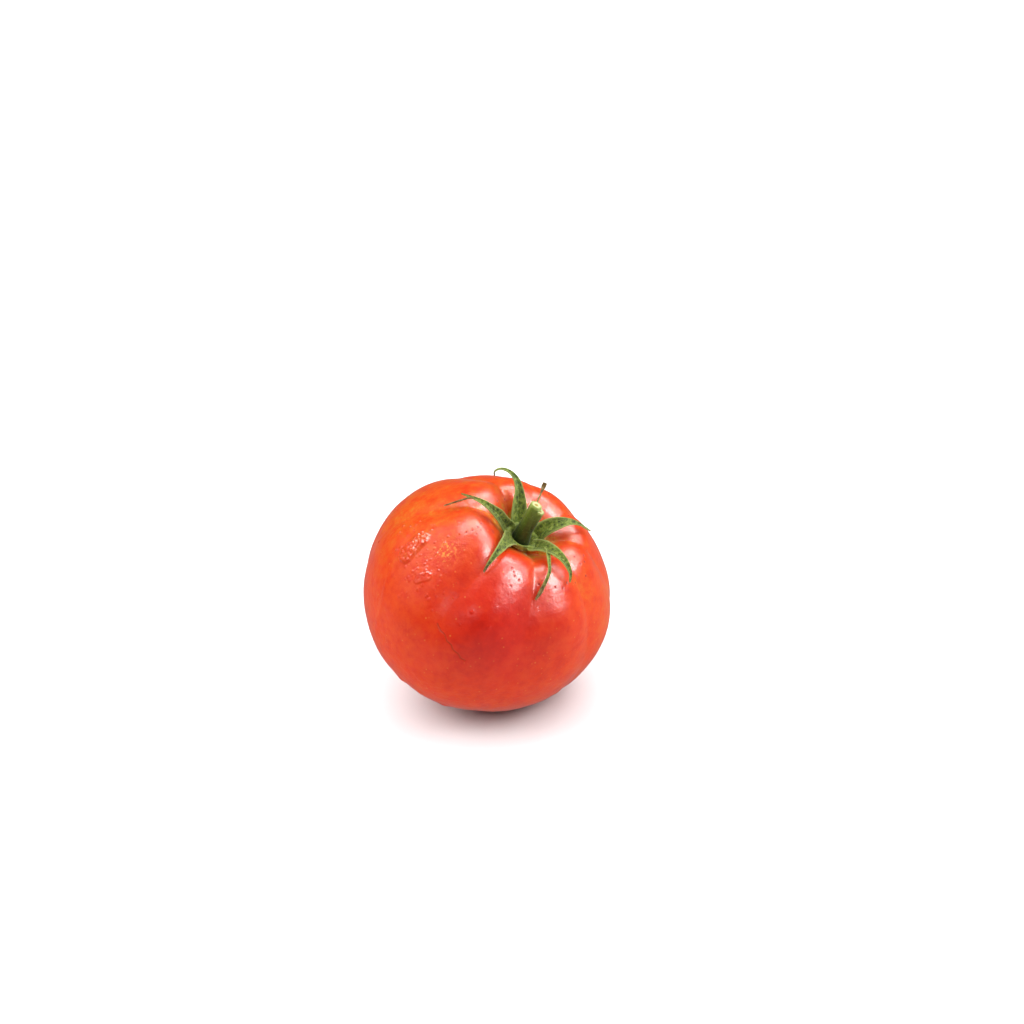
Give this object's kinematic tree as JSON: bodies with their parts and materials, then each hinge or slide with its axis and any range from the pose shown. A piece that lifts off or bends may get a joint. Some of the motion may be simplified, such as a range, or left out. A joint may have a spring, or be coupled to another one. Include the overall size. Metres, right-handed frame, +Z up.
{
  "type": "tomato",
  "caption": "Ripe, lobed red tomato with its green calyx and a cut stalk, leaning to one side and resting on a small flat spot.",
  "frame": {"origin": "middle of the small flat spot that the tomato rests on", "axes": "+Z up, square to the flat spot; +X to the right and +Y away as the tomato is usually seen, with the stalk leaning up, to the right and a little forwards"},
  "size_m": [0.0794, 0.0796, 0.077],
  "materials": {
    "fruit_skin": "gloss",
    "calyx_green": "matte",
    "stalk_green": "matte"
  },
  "bodies": {
    "root": {"fruit": "fruit_skin", "calyx_hub": "calyx_green", "stalk": "stalk_green", "sepal_tall": "calyx_green", "sepal_forked": "calyx_green", "sepal_left": "calyx_green", "sepal_split": "calyx_green", "sepal_right": "calyx_green", "sepal_back": "calyx_green"}
  },
  "joints": []
}
